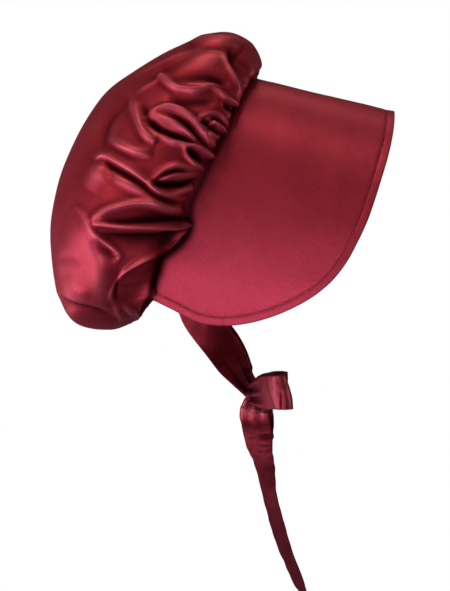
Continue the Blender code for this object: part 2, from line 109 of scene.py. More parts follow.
# The view shows its aim, which is (+Y, +Z), at SQUARE_AIM, from this distance and turned by this much
SQUARE = 0.75
SQUARE_AIM = (225, 295)
SIDE_VIEW_FROM = 2500 * MM
SIDE_VIEW_TURN = math.radians(1.5)
SIDE_VIEW_AIM = (18.75 * MM, -161.25 * MM)
FOLDS = rows_of(Fold, [
    ("peak", 6, 5, 1.8, [(192, 46, 0), (202, 41, 4), (216, 40, 4.6), (230, 42, 4), (242, 49, 0)]),
    ("peak crease", 2.4, 1.8, 1.5, [(210, 37, 0), (218, 36, -1.8), (230, 36, -2.2), (240, 41, 0)]),
    ("peak body", 9, 8, 2, [(164, 66, 0), (182, 60, 2), (205, 56, 3), (220, 58, 3), (227, 66, 1)]),
    ("peak fold", 4, 3, 2, [(196, 52, 0), (210, 48, -1.4), (226, 50, -1.6), (232, 52, 0)]),
    ("peak pocket", 2.4, 14, 1.8, [(229, 46, 0), (230, 54, -5), (231, 63, -6.5), (236, 72, -5),
     (243, 80, -1)]),
    ("front roll", 6, 6, 2, [(240, 42, 0), (252, 56, 2), (256, 66, 2), (254, 76, 0)]),
    ("arch", 2.4, 3.6, 1.5, [(221, 56, 0), (228, 67, 3.4), (234, 78, 3.6), (239, 91, 1)]),
    ("arch hollow", 5, 5, 2, [(170, 78, 0), (186, 76, -2.2), (204, 75, -3.4), (220, 79, -3.2),
     (230, 86, 0)]),
    ("arch line", 1.8, 1.8, 1.5, [(178, 82, 0), (196, 84, 1.6), (214, 85, 1.6), (230, 87, 0)]),
    ("arch lip", 3, 3.6, 1.6, [(156, 72, 0), (162, 77, 3.8), (168, 83, 5.4), (176, 88, 5.2), (186, 90, 4.4),
     (198, 90, 3.8), (210, 87, 2.4), (219, 84, 0)]),
    ("under lip", 6, 5, 2, [(165, 97, 0), (182, 101, -2.2), (205, 101, -2.4), (218, 101, 0)]),
    ("back line", 1.8, 1.8, 1.6, [(134, 78, 0), (150, 68, 1.6), (174, 58, 1.8), (200, 49, 0)]),
    ("back line shade", 4, 3, 1.6, [(140, 84, 0), (158, 72, -1.4), (178, 63, -1.3), (200, 55, 0)]),
    ("second line", 1.8, 1.8, 1.6, [(134, 94, 0), (144, 88, 1.5), (158, 80, 1.5), (168, 73, 0)]),
    ("front tuck", 3, 3, 1.4, [(210, 86, 0), (218, 91, 3.4), (226, 98, 3.8), (238, 105, 1.5)]),
    ("front tuck hole", 3, 2.6, 1.5, [(222, 102, 0), (230, 107, -4.5), (240, 111, -3)]),
    ("outer arc", 5, 6, 1.8, [(103, 150, 0), (104, 134, -1.8), (110, 118, -2.4), (124, 104, -1.6),
     (132, 97, 0)]),
    ("sash", 4.6, 4.2, 2, [(130, 98, 0), (134, 106, 2.2), (138, 117, 3), (142, 128, 3.8), (148, 136, 4.2),
     (154, 140, 3), (157, 142, 0)]),
    ("sash shade", 4, 4, 1.8, [(140, 100, 0), (146, 112, -1.8), (151, 124, -2), (160, 136, -1),
     (166, 144, 0)]),
    ("upper puff", 4.6, 3, 1.8, [(143, 121, 0), (149, 114, 2.4), (160, 108, 3.6), (172, 106, 4),
     (185, 111, 3.8), (195, 120, 3.2), (204, 132, 2.8), (212, 143, 2), (217, 149, 0)]),
    ("upper puff crease", 2.6, 2.6, 1.8, [(166, 113, 0), (176, 116, -1.4), (186, 122, -2.8), (194, 131, -3),
     (202, 140, -2.4), (210, 147, 0)]),
    ("inner puff", 3.4, 2.2, 1.7, [(148, 116, 0), (158, 116, 1.8), (169, 119, 2.6), (180, 126, 3),
     (190, 134, 2.8), (200, 143, 0)]),
    ("deep crease", 2.2, 3.4, 1.7, [(149, 120, 0), (154, 124, -3.6), (164, 130, -5), (175, 135, -5),
     (186, 139, -3.6), (198, 144, 0)]),
    ("lower puff", 3, 1.9, 1.5, [(146, 119, 0), (150, 126, 2), (158, 134, 3), (170, 140, 3.4),
     (184, 143, 3.4), (198, 147, 3.2), (210, 153, 2)]),
    ("curl", 1.8, 2.2, 1.5, [(194, 121, 0), (201, 117, 2), (210, 113, 2.8), (220, 115, 2.8),
     (225, 124, 2.6), (223, 133, 2)]),
    ("curl line", 1.8, 1.8, 1.6, [(204, 119, 0), (212, 120, 2.2), (219, 125, 2.2), (223, 131, 0)]),
    ("curl hole", 2.4, 2.4, 1.6, [(198, 122, 0), (206, 124, -4.5), (212, 127, -4.5), (217, 133, -2)]),
    ("curl tongue", 2.2, 2, 1.5, [(202, 134, 0), (210, 132, 2), (219, 137, 1.6)]),
    ("small curl", 2, 2, 1.5, [(184, 147, 1.6), (187, 156, 3), (194, 163, 3.2), (202, 168, 1.6)]),
    ("small curl top", 2, 2, 1.5, [(185, 147, 1), (193, 145, 2.4), (202, 149, 2.4), (209, 156, 1)]),
    ("small hole", 2.8, 2.8, 1.7, [(190, 150, -3), (196, 155, -6), (202, 160, -3)]),
    ("bright tip", 3, 3, 1.5, [(204, 152, 0), (211, 155, 3.2), (217, 155, 2.6)]),
    ("glow", 3.4, 7, 2, [(108, 136, 0), (117, 143, 3), (128, 149, 4.6), (140, 153, 4), (153, 154, 0)]),
    ("shoulder", 2.6, 4.4, 1.6, [(94, 161, 0), (99, 157, 2.4), (106, 156, 3.6), (117, 162, 4),
     (132, 171, 4.2), (146, 181, 4), (153, 188, 3.8), (162, 194, 3.4), (176, 198, 2.2), (188, 198, 0)]),
    ("shoulder patch", 13, 8, 2, [(86, 188, 0), (93, 178, 2.6), (100, 171, 4.2), (110, 168, 0)]),
    ("shoulder crease", 3.2, 2.6, 1.7, [(103, 160, 0), (110, 165, -1.6), (122, 171, -2.2), (136, 180, -1.8),
     (150, 191, -1), (160, 200, 0)]),
    ("second shoulder", 6, 4, 2, [(106, 172, 0), (118, 178, 2), (132, 185, 3), (146, 194, 3.4),
     (156, 201, 3.6), (166, 206, 2.6), (176, 209, 0)]),
    ("eye top", 2.4, 3.6, 1.4, [(150, 181, 0), (157, 175, 3), (166, 169, 4.2), (178, 166, 4.4),
     (194, 168, 2)]),
    ("eye", 3, 3, 1.6, [(150, 182, 0), (160, 184, -4.4), (174, 184, -7.5), (186, 183, -6), (194, 180, -3)]),
    ("eye upper hollow", 2.4, 2.4, 1.4, [(156, 179, 0), (166, 173, -2.4), (178, 170, -2), (190, 171, 0)]),
    ("eye fold", 3, 3, 1.8, [(158, 180, 0), (168, 176, 2.4), (178, 174, 3), (192, 174, 1)]),
    ("eye lip", 2.6, 2.4, 1.4, [(148, 180, 0), (151, 186, 3.2), (158, 191, 4), (170, 194, 4.2),
     (181, 191, 4), (191, 186, 3)]),
    ("large top", 6, 4.6, 2, [(91, 224, 0), (97, 216, 3), (107, 209, 4), (120, 205, 4.6), (135, 202, 4.8),
     (150, 203, 4.8), (163, 206, 4.2), (176, 210, 2.6), (188, 213, 0)]),
    ("ruffle wave", 1.5, 1.6, 1.7, [(198, 121, 0), (203, 124.5, 2), (208, 126, 2.6), (213, 123, 2.6),
     (219, 126.5, 2.8), (225, 133, 2.2), (221, 136.5, 0)]),
    ("ruffle pit", 1.8, 1.8, 2, [(202, 119, 0), (207, 121.5, -2.4), (213, 118.5, -2.4), (219, 121.5, -2.2),
     (225, 128, 0)]),
    ("large upper hollow", 2.2, 8, 1.8, [(102, 222, 0), (112, 222, -1.2), (126, 222, -2.6),
     (144, 221, -3.4), (162, 220, -3.6), (178, 220, -3), (190, 220, -1.5)]),
    ("large line", 2.5, 3.4, 1.8, [(92, 223, 0), (100, 224, 3), (112, 225, 5), (124, 226, 6),
     (140, 226, 6.6), (160, 226, 7), (178, 225, 6.4), (192, 224, 3)]),
    ("large lower hollow", 12, 3.4, 2, [(98, 233, 0), (110, 235, -2.6), (126, 236, -4.6), (146, 236, -5.6),
     (163, 236, -6), (177, 234, -6.2), (187, 230, -3.6)]),
    ("lip", 2.4, 2, 1.4, [(108, 300, 0), (113, 286, 1.6), (121, 274, 2.4), (129, 267, 3.2), (142, 259, 4.4),
     (154, 253, 5.4), (166, 248, 6), (178, 240, 5.4), (187, 230, 4), (190, 222, 2)]),
    ("left ridge", 4, 2.4, 1.8, [(74, 204, 0), (82, 211, 1.4), (89, 222, 2), (95, 232, 2.4),
     (104, 241, 2.4), (113, 248, 2.2), (120, 255, 1.6), (117, 261, 0)]),
    ("left hollow", 4.6, 3.8, 2, [(92, 238, 0), (101, 246, -1.4), (110, 253, -2), (117, 260, 0)]),
    ("low ridge", 12, 10, 2, [(78, 212, 0), (88, 236, 1.4), (98, 262, 2), (102, 282, 2.8), (104, 296, 2.4),
     (108, 306, 0)]),
    ("low streak", 5, 5, 2, [(60, 254, 0), (70, 260, -1), (82, 268, 0)]),
    ("back streak", 8, 6, 2, [(64, 276, 0), (76, 290, 1.4), (90, 297, 0)]),
    ("bottom tuck", 6, 5, 1.8, [(56, 294, 0), (66, 302, -2.2), (80, 307, -2.6), (96, 310, -2.6),
     (114, 318, -1.2)]),
    ("bottom roll", 9, 6, 2, [(66, 310, 0), (82, 318, -0.7), (104, 321, -0.7), (120, 324, 0)]),
    ("bottom tuck edge", 2.6, 5, 1.8, [(58, 290, 0), (72, 300, 1.2), (88, 303, 1.4), (106, 308, 1)]),
    ("neck line", 2.2, 2.4, 1.6, [(121, 268, 0), (117, 280, -1.6), (115, 294, -2.2), (115, 306, 0)]),
    ("neck fold", 3, 3.4, 1.7, [(111, 286, 0), (113, 298, 1.8), (118, 312, 1.6), (122, 322, 0)]),
    ("neck curl", 3, 3, 1.5, [(122, 304, 1), (129, 309, 3.4), (134, 316, 3.2), (139, 322, 1)]),
])
# How far in millimetres the crown's front puffs hang over the brim, by their height in the side view
OVERHANG = [
    (196, 0), (204, 1.5), (212, 7), (220, 11), (226, 13.5), (231, 14.5), (236, 12.5), (241, 8), (248, 3),
    (256, 3), (270, 4), (284, 6), (294, 9), (303, 13), (312, 14), (321, 10), (329, 3), (335, 0),
]
# The painted shadow in the gap between crown and brim: places in the side view, its radius in squares and
# its darkness
Shade = namedtuple("Shade", "x y radius darkness")
SEAM_SHADE = rows_of(Shade, [
    (254, 76, 3, 0.7), (247, 84, 4, 0.9), (240, 95, 4.5, 1), (234, 107, 5, 1), (228, 120, 4.5, 0.8),
    (222, 138, 4, 0.8), (213, 156, 4, 0.8), (206, 172, 4.5, 0.8), (199, 187, 5, 0.8), (192, 200, 6, 0.85),
    (189, 214, 7, 0.9), (189, 227, 7, 1), (184, 238, 7, 1), (174, 248, 7, 1), (162, 257, 7.5, 1),
    (157, 270, 7.5, 1), (153, 283, 6.5, 1), (150, 297, 5, 0.9),
])
# Where the turned edge of the brim is joined: how far to the front in the side view, and from what height
EDGE_JOINT = 223
EDGE_JOINT_TOP = 304
# Wide puffs at the seam, which leave no room for small gathers, in the side view
Puff = namedtuple("Puff", "at radius")
WIDE_PUFFS = rows_of(Puff, [
    ((186, 228), 24), ((164, 250), 20), ((182, 208), 12), ((150, 286), 24), ((132, 312), 16),
])
# The left half has the same folds, moved by some squares, with this share of their height, and the two
# halves blend over this distance on each side of the middle plane
LEFT_SHIFT = (9, -7)
LEFT_SHARE = 0.9
MIDDLE_BLEND = 24 * MM
# From this height in the side view down, the gap's shade also falls on the crown's puffs
SHADED_PUFFS_TOP = 246

# Ribbons. back is +Y and up +Z, side is out from the middle plane, turn is in degrees
RIBBON_WIDTH = 25 * MM
KNOT_CENTRE = Vector((0, -5, -235)) * MM
KNOT_RADIUS = 7.8 * MM
KNOT_HALF_LENGTH = 8.6 * MM
KNOT_WALL = 1.6 * MM
KNOT_EDGE = 0.4 * MM
TailPoint = namedtuple("TailPoint", "back up turn width bulge")
TAIL = rows_of(TailPoint, [
    (-5, -238.5, 0, 15, 0), (-5, -242.85, 10, 19, 2), (-5.5, -250, 22, 23.5, 2.6), (-7, -262, 28, 25, 0.6),
    (-8.4, -273, 38, 25, -0.6), (-11.8, -286, 54, 25, -0.4), (-16.8, -312, 63, 25, 0),
    (-24.8, -343, 65, 25, 0), (-36, -372, 71, 25, 0), (-43.8, -395, 74, 25, 0),
])
# Distance of the tails from their middle at the knot, how much less it is at their ends, and how far
# aside the left one's end hangs
TAIL_APART = 3.2 * MM
TAIL_CLOSER = 2.5 * MM
LEFT_TAIL_ASIDE = 7.5 * MM
LoopPoint = namedtuple("LoopPoint", "side back up width")
LOOP = rows_of(LoopPoint, [
    (7, -8, -235, 12), (16, -10.5, -235, 18), (34, -22, -233.5, 25), (56, -29, -232.5, 25),
    (69, -28.5, -232, 25), (72.5, -24, -232, 25), (68, -19, -232, 25), (54, -15.5, -232.5, 25),
    (34, -10, -233.5, 25), (16, -3.5, -235, 18), (7, -2, -235, 12),
])
LOOP_LEAN = 0.2
TiePoint = namedtuple("TiePoint", "side back up width")
TIE = rows_of(TiePoint, [
    (57, 21, -197.5, 25), (41, 13.5, -209, 24), (24, 8, -218, 20), (10, 5, -224, 16), (4.5, 1.0, -229, 14),
    (3.5, -2.0, -232.5, 13),
])
TIE_ON_BRIM = rows_of(EdgePoint, [(-6, 166), (1, 176), (8, 185.5)])
# The ties lie so far in from the brim's outer face, and this is across them where they run free
TIE_INSIDE = 2.6 * MM + 0.9 * MM
TIE_ACROSS = (0, -0.8, 0.6)
TIE_LENGTH = 0.108
LOOP_LENGTH = 0.150
TAIL_LENGTH = 0.163
# Painted shade and highlight along the ribbons from their first end: (share of the length, value), 0 dark,
# 0.5 even, 1 bright
TIE_SHADES = [(0, 0.45), (0.35, 0.42), (0.6, 0.4), (0.85, 0.25), (0.95, 0.08), (1, 0)]
LOOP_SHADES = [
    (0, 0), (0.08, 0.05), (0.2, 0.15), (0.34, 0.75), (0.64, 0.8), (0.78, 0.4), (0.92, 0.1), (1, 0),
]
TAIL_SHADES = [
    (0, 0), (0.03, 0.3), (0.06, 1), (0.19, 1), (0.24, 0.5), (0.3, 0.16), (0.4, 0.3), (0.6, 0.12), (1, 0.12),
]

# Cloth. Places nearer than this become one, and each grid has its columns and rows
MERGE = 0.01 * MM
CLOTH_CELLS = {
    "brim": (300, 84), "crown": (560, 176), "casing": (420, 14), "ribbon": (26, 150), "knot": (96, 28),
}
STITCH_GROOVE = 0.25 * MM
GROOVE_WIDTH = 0.9 * MM
EDGE_RAISED = 0.25 * MM
PLEATS = 2.5
PLEAT_HEIGHT = 2.6 * MM
CASING_GATHERS = 46
CASING_START = CORNER_ANGLE + 0.02
# How much closer the grid's rows are towards the brim's edge and towards the crown's sewn edge: 1 is even
BRIM_ROWS_CLOSER = 1.35
CROWN_ROWS_CLOSER = 1.12
# Painted shade and highlight from the crown's relief: how deep a crease is when its painted shade is black,
# what stands out enough for a full painted highlight against a little and a wide smoothing, and the passes
# of each
CREASE_DEPTH = 11 * MM
SMALL_RELIEF = 1.25 * MM
LARGE_RELIEF = 6 * MM
SMALL_SMOOTHING = 14
LARGE_SMOOTHING = 140

# Stage: the floor in metres, and the camera's sensor in millimetres
FLOOR_RADIUS = 6.0
FLOOR_UP = -1.6
SENSOR = 36


def number_property(name, description, default, **more):
    return bpy.props.FloatProperty(name=name, description=description, default=default, **more)


def length_property(name, description, default, least, most):
    """A length, given in millimetres."""
    limits = {"min": least * MM, "max": most * MM}
    return number_property(name, description, default * MM, unit="LENGTH", **limits)


def colour_property(description, default):
    return bpy.props.FloatVectorProperty(
        name="Colour", description=description, subtype="COLOR", size=3, default=default, min=0, max=1,
    )


class BrimSettings(bpy.types.PropertyGroup):
    """Sizes and colours of the brim."""

    wall: length_property("Wall", "Thickness of satin, stiffening and lining together", 2.6, 1, 5)
    edge_roll: length_property("Edge roll", "How much the turned edge is rounded", 1.0, 0.2, 1.3)
    stitch_inset: length_property("Stitch inset", "Distance of the stitches from the outer edge", 6.0, 3, 12)
    stitch_length: length_property("Stitch length", "Length of one stitch with its gap", 2.8, 1.5, 5)
    colour: colour_property("Satin of the brim", (0.420, 0.030, 0.055))


class CrownSettings(bpy.types.PropertyGroup):
    """Sizes and colours of the crown."""

    casing: length_property("Casing", "Radius of the gathered casing round the nape", 1.9, 1, 4)
    gathers: bpy.props.IntProperty(
        name="Gathers", description="Number of larger gathers round the seam", default=34, min=10, max=80,
    )
    gather_height: length_property("Gather height", "Height of the gathers at the seam", 1.8, 0, 5)
    right_detail: number_property(
        "Right detail", "How much closer the mesh is on the right side", 0.35, min=0, max=0.6,
    )
    fold_strength: number_property(
        "Fold strength", "Multiplies the height of every fold", 1.0, min=0, max=2,
    )
    colour: colour_property("Satin of the crown", (0.360, 0.021, 0.036))


class RibbonSettings(bpy.types.PropertyGroup):
    """Sizes and colours of the ties and the bow."""

    wall: length_property("Wall", "Thickness of the ribbon", 0.6, 0.2, 1.2)
    colour: colour_property("Satin of the ribbon", (0.210, 0.010, 0.018))


class StageSettings(bpy.types.PropertyGroup):
    """Floor, camera and light."""

    camera_azimuth: number_property("Azimuth", "Direction that the camera looks from, in degrees", 271.5)
    camera_elevation: number_property(
        "Elevation", "Height of the camera above the horizon, in degrees", 0.0,
    )
    camera_distance: number_property("Distance", "Distance of the camera", 2.5, min=0.5, unit="LENGTH")
    floor_glow: number_property(
        "Floor glow", "How bright the floor itself is, so that it looks pale", 0.78, min=0, max=2,
    )
    frame_height: number_property(
        "Frame height", "Height of what the camera sees at that distance", 0.44325, min=0.1, unit="LENGTH",
    )


# Curves and surfaces, on arrays of any shape. Points are in the last axis


def smooth_step(value):
    """From 0 to 1 as value does, and level outside."""
    value = np.clip(value, 0.0, 1.0)
    return value * value * (3 - 2 * value)


def bell(away, width, power=2):
    """1 in the middle, and about a third where away is width."""
    return np.exp(-((away / width) ** power))


def hermite(before, a, b, after, f):
    """Places at f, from 0 to 1, between a and b on a smooth curve through all four."""
    slope_a = (b - before) / 2
    slope_b = (after - a) / 2
    f2 = f * f
    f3 = f2 * f
    start = a * (2 * f3 - 3 * f2 + 1) + slope_a * (f3 - 2 * f2 + f)
    return start + b * (3 * f2 - 2 * f3) + slope_b * (f3 - f2)


def along(points, t, first=None):
    """Places at t, from 0 to 1, on a smooth curve through points. first stands before them."""
    points = np.asarray(points, float)
    last = len(points) - 1
    ahead = first if first is not None else 2 * points[0] - points[1]
    behind = 2 * points[last] - points[last - 1]
    padded = np.vstack([ahead, points, behind])
    at = np.clip(t, 0.0, 1.0) * last
    k = np.minimum(at.astype(int), last - 1)
    f = (at - k)[..., None]
    return hermite(padded[k], padded[k + 1], padded[k + 2], padded[k + 3], f)


def turn_at(down):
    """Turn round the brim, from its top, where it has come down so far."""
    down = np.asarray(down, float)
    above = np.arccos(np.clip(1 - down / BRIM_ABOVE, -1, 1))
    below = np.arccos(np.clip((BRIM_ABOVE - down) / BRIM_BELOW, -1, 1))
    return np.where(down <= BRIM_ABOVE, above, below)


def brim_surface(forward, turn):
    """Places on the surface that the brim is bent to."""
    half_width = BRIM_HALF_WIDTH + BRIM_FLARE * forward
    reach = np.where(np.cos(turn) < 0, BRIM_BELOW, BRIM_ABOVE)
    down = BRIM_ABOVE - reach * np.cos(turn)
    back = down * math.sin(BRIM_FALL) - forward * math.cos(BRIM_FALL)
    up = BRIM_TOP - down * math.cos(BRIM_FALL) - forward * math.sin(BRIM_FALL)
    return np.stack([-half_width * np.sin(turn), back, up], -1)


def unit(vectors):
    return vectors / np.linalg.norm(vectors, axis=-1, keepdims=True)


def brim_outward(forward, turn):
    step = 0.5 * MM
    ahead = brim_surface(forward + step, turn) - brim_surface(forward - step, turn)
    round_it = brim_surface(forward, turn + 0.005) - brim_surface(forward, turn - 0.005)
    return unit(np.cross(round_it, ahead))


def brim_place(forward, turn, depth=0.0):
    """Places below the brim's outer face by depth."""
    depth = np.asarray(depth)[..., None] if np.ndim(depth) else depth
    return brim_surface(forward, turn) - brim_outward(forward, turn) * depth


def brim_line(edge_points, t):
    """(forward, turn) at t along half of one of the brim's edges, in the last axis."""
    places = [(p.forward * MM, float(turn_at(p.down * MM))) for p in edge_points]
    return along(places, t, (places[1][0], -places[1][1]))


def lengths_along(places):
    """Length from the first place to each, along the line through them."""
    return np.concatenate([[0], np.cumsum(np.linalg.norm(np.diff(places, axis=0), axis=-1))])


# The brim laid flat, as (forward, girth from its top), at some places round half of it
SAMPLES = 400
GIRTH_FORWARD = 40 * MM
TURNS = np.linspace(0, MOST_TURN, SAMPLES)
GIRTHS = lengths_along(brim_surface(np.full(SAMPLES, GIRTH_FORWARD), TURNS))
EDGE_T = np.linspace(0, 1, SAMPLES)
EDGE_LINE = brim_line(BRIM_EDGE, EDGE_T)
SEAM_LINE = brim_line(BRIM_SEAM, EDGE_T)
EDGE_FLAT = np.stack([EDGE_LINE[:, 0], np.interp(EDGE_LINE[:, 1], TURNS, GIRTHS)], -1)


def drawn_line(points):
    """A smooth line of short straight runs through points."""
    return along(np.array(points, float), np.linspace(0, 1, 4 * len(points) - 3))


def distance_to_line(places, line):
    """(distance, signed side, share along) of flat places to a line of flat points."""
    best = np.full(places.shape[:-1], 1e9)
    side = np.zeros_like(best)
    share = np.zeros_like(best)
    count = len(line) - 1
    for i in range(count):
        run = line[i + 1] - line[i]
        f = np.clip(((places - line[i]) @ run) / max(run @ run, 1e-12), 0, 1)
        off = places - line[i] - f[..., None] * run
        distance = np.linalg.norm(off, axis=-1)
        nearer = distance < best
        best = np.where(nearer, distance, best)
        side = np.where(nearer, run[0] * off[..., 1] - run[1] * off[..., 0], side)
        share = np.where(nearer, (i + f) / count, share)
    return best, side, share


def waves(places, seed, length):
    """Smooth random ripples of about this wavelength, from -1 to 1."""
    random = np.random.default_rng(seed)
    total = np.zeros(places.shape[:-1])
    for _ in range(7):
        way = random.normal(size=places.shape[-1])
        way *= 2 * math.pi / length * random.uniform(0.7, 1.4) / np.linalg.norm(way)
        total += np.sin(places @ way + random.uniform(0, 6.3))
    return total / 4


def sewn_edge(angle):
    """(places, outward) of the crown's edge: on the brim down to its corners, then round the nape."""
    side = np.where(angle >= 0, 1.0, -1.0)
    size = np.abs(angle)
    corner_turn = float(SEAM_LINE[-1, 1])
    on_brim = corner_turn * np.minimum(size / CORNER_ANGLE, 1.0)
    overlap = CROWN_OVERLAP[0] + (CROWN_OVERLAP[1] - CROWN_OVERLAP[0]) * smooth_step(on_brim / corner_turn)
    forward = np.interp(on_brim, SEAM_LINE[:, 1], SEAM_LINE[:, 0]) + overlap
    place = brim_place(forward, side * on_brim, np.full(np.shape(forward), -SEAM_LIFT))
    outward = brim_outward(forward, side * on_brim)
    share = np.clip((size - CORNER_ANGLE) / (math.pi - CORNER_ANGLE), 0, 1)
    swing = share * math.pi / 2
    back, up = NAPE[0] * MM, NAPE[1] * MM
    round_nape = np.stack([
        place[..., 0] * np.cos(swing),
        place[..., 1] + (back - place[..., 1]) * np.sin(swing),
        place[..., 2] + (up - place[..., 2]) * (1 - np.cos(swing)),
    ], -1)
    below = np.array([0, 0.25, -0.97])
    blend = smooth_step(share)[..., None]
    return round_nape, unit(outward * (1 - blend) + below * blend)


def hoop_place(number, angle):
    """Places round a hoop. 0 is the sewn edge, and past the last they go on over the back's middle."""
    count = len(CROWN_HOOPS)
    if number == 0:
        return sewn_edge(angle)[0]
    if number == count + 1:
        back = np.array([0, CROWN_BACK[0], CROWN_BACK[1]]) * MM
        return np.broadcast_to(back, np.shape(angle) + (3,))
    if number > count + 1:
        return hoop_place(2 * (count + 1) - number, angle - math.pi)
    hoop = CROWN_HOOPS[number - 1]
    top, side, low = (np.array(p) * MM for p in (hoop.top, hoop.side, hoop.low))
    bend = 2 * side - (top + low) / 2
    t = ((1 - np.cos(angle)) / 2)[..., None]
    place = top * (1 - t) ** 2 + bend * 2 * t * (1 - t) + low * t * t
    spread = 1 + HOOP_LOW_SPREAD * t[..., 0] ** 2
    across = -hoop.half_width * MM * spread * np.sin(angle)
    return np.stack([across, place[..., 0], place[..., 1]], -1)


def smooth_crown(angle, reach):
    """Places on the crown without its folds. reach counts sections in from the sewn edge."""
    last = len(CROWN_HOOPS) + 1
    hoops = [hoop_place(k, angle) for k in range(last + 2)]
    hoops.insert(0, hoops[1] - sewn_edge(angle)[1] * SEAM_LEAD)
    hoops = np.stack(hoops)
    k = np.clip(reach.astype(int), 0, last - 1)
    f = (reach - k)[..., None]
    picked = [np.take_along_axis(hoops, (k + i)[None, ..., None], 0)[0] for i in range(4)]
    return hermite(*picked, f)


def seen_from_side(place):
    """Where a place shows, in squares of the side view, when it is looked at from the right."""
    near = SIDE_VIEW_FROM / (SIDE_VIEW_FROM + place[..., 0]) / (SQUARE * MM)
    back = place[..., 1] - math.sin(SIDE_VIEW_TURN) * place[..., 0] - SIDE_VIEW_AIM[0]
    up = place[..., 2] - SIDE_VIEW_AIM[1]
    return np.stack([SQUARE_AIM[0] - back * near, SQUARE_AIM[1] - up * near], -1)


def fold_height(fold, seen):
    """Height in millimetres of one fold at places of the side view."""
    drawn = drawn_line(fold.line)
    line, heights = drawn[:, :2], drawn[:, 2]
    reach = 3.2 * max(fold.below, fold.above)
    low, high = line.min(0) - reach, line.max(0) + reach
    inside = ((seen > low) & (seen < high)).all(-1)
    height = np.zeros(seen.shape[:-1])
    if not inside.any():
        return height
    distance, side, share = distance_to_line(seen[inside], line)
    width = np.where(side > 0, fold.below, fold.above)
    middle = np.interp(share, np.linspace(0, 1, len(heights)), heights)
    height[inside] = middle * bell(distance, width, fold.power)
    return height


def folds_at(place):
    """Height in metres of all folds at places on the smooth crown, blended over the middle plane."""
    right = seen_from_side(place)
    mirrored = place * np.array([-1, 1, 1])
    left = seen_from_side(mirrored) + np.array(LEFT_SHIFT)
    on_right = sum(fold_height(fold, right) for fold in FOLDS)
    on_left = sum(fold_height(fold, left) for fold in FOLDS)
    share = smooth_step(0.5 - place[..., 0] / (2 * MIDDLE_BLEND))
    return (on_right * share + on_left * LEFT_SHARE * (1 - share)) * MM


def seen_from_near_side(place):
    """As seen_from_side, with the left half looked at from the left."""
    return seen_from_side(np.stack([-np.abs(place[..., 0]), place[..., 1], place[..., 2]], -1))


def seam_shade_at(place):
    """Painted shadow, from 0 to 1, in the gap between crown and brim."""
    table = drawn_line(SEAM_SHADE)
    away, _, share = distance_to_line(seen_from_near_side(place), table[:, :2])
    at = np.linspace(0, 1, len(table))
    return np.interp(share, at, table[:, 3]) * bell(away, np.interp(share, at, table[:, 2]), 2.2)


def overhang_at(place, reach):
    """The step by which a puff at the seam leans forward over the brim."""
    table = np.array(OVERHANG, float)
    seen = seen_from_near_side(place)
    far = np.interp(seen[..., 1], table[:, 0], table[:, 1]) * MM * smooth_step((seen[..., 0] - 95) / 25)
    far = far * smooth_step(reach * 6) * bell(reach, 0.6)
    out = np.sign(place[..., 0]) * 0.22
    fall = [np.full_like(out, -math.cos(BRIM_FALL)), np.full_like(out, -math.sin(BRIM_FALL))]
    return np.stack([out, *fall], -1) * far[..., None]


def calm_at(place):
    """From 1 to 0 where a wide puff leaves no room for small gathers."""
    seen = seen_from_near_side(place)
    calm = np.ones(place.shape[:-1])
    for puff in WIDE_PUFFS:
        away = np.linalg.norm(seen - np.array(puff.at), axis=-1)
        calm = calm * (1 - 0.85 * bell(away, puff.radius, 2.5))
    return calm


def gathers_at(angle, reach, settings):
    """Puffs with sharp creases between them that start at the sewn edge, merge and die out."""
    wander = 1.3 * np.sin(3.1 * angle + 0.7) + 0.9 * np.sin(7.3 * angle + 1.9) + 0.5 * np.sin(13.7 * angle)
    coarse = np.abs(np.sin(settings.gathers / 2 * angle + wander)) ** 0.8
    fine = np.abs(np.sin(settings.gathers * 1.15 * angle + 2.2 * wander + 1.1)) ** 0.8
    uneven = 0.75 + 0.45 * np.sin(5.3 * angle + 2) * np.sin(9.1 * angle)
    height = coarse * bell(reach, 0.85, 1.5) + 0.55 * fine * bell(reach, 0.45, 1.5)
    back = 0.35 * coarse * bell(reach, 1.9)
    return settings.gather_height * uneven * (height + back - 0.7 * np.exp(-reach / 0.7))


def crown_place(angle, reach, settings):
    """(places on the crown with its folds and gathers, how far they lift it)."""
    place = smooth_crown(angle, reach)
    step = 0.02
    round_it = smooth_crown(angle + step, reach) - smooth_crown(angle - step, reach)
    inward = smooth_crown(angle, reach + step) - smooth_crown(angle, np.maximum(reach - step, 0.0))
    outward = np.cross(inward, round_it)
    size = np.linalg.norm(outward, axis=-1, keepdims=True)
    outward = np.where(size > 1e-12, outward / np.maximum(size, 1e-12), np.array([0, 1.0, 0]))
    forward = -inward / np.maximum(np.linalg.norm(inward, axis=-1, keepdims=True), 1e-12)
    rise = smooth_step(reach * 1.5)
    place = place + overhang_at(place, reach)
    folds = folds_at(place) * (0.75 + 0.25 * rise) * smooth_step(reach * 8) * settings.fold_strength
    gathers = gathers_at(angle, reach, settings) * smooth_step(reach * 5) * calm_at(place)
    crumple = 0.25 * MM * waves(place, 5, 30 * MM) * rise
    over = 0.7 * np.maximum(folds + gathers, 0) * bell(reach, 0.55)
    lift = folds + gathers + crumple
    return place + outward * lift[..., None] + forward * over[..., None], lift


